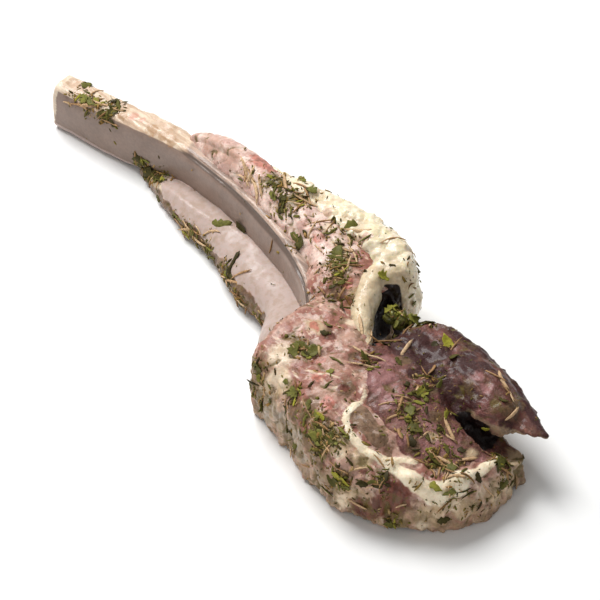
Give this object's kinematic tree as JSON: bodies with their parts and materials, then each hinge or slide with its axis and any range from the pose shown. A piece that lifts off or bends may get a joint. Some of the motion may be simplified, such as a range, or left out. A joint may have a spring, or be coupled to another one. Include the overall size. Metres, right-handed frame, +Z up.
{
  "type": "lamb chop",
  "caption": "Raw marinated lamb chop lying flat: a long bare rib, the loin meat with its smooth rib lining and a folded cap of fat, rubbed with green herbs.",
  "frame": {"origin": "centre of the bounding box's bottom face, on the surface that the chop lies on", "axes": "+X along the rib from its free end towards the loin, +Y towards the fat side, +Z up out of the cut face"},
  "size_m": [0.1807, 0.0606, 0.0266],
  "materials": {
    "rib_bone": "satin, damp bone with its thin grey-pink skin",
    "meat": "moist, oiled raw meat",
    "fat_cap": "soft cream fat with an oily sheen"
  },
  "bodies": {
    "root": {"rib_bone": "rib_bone", "meat": "meat", "fat_cap": "fat_cap"}
  },
  "joints": []
}
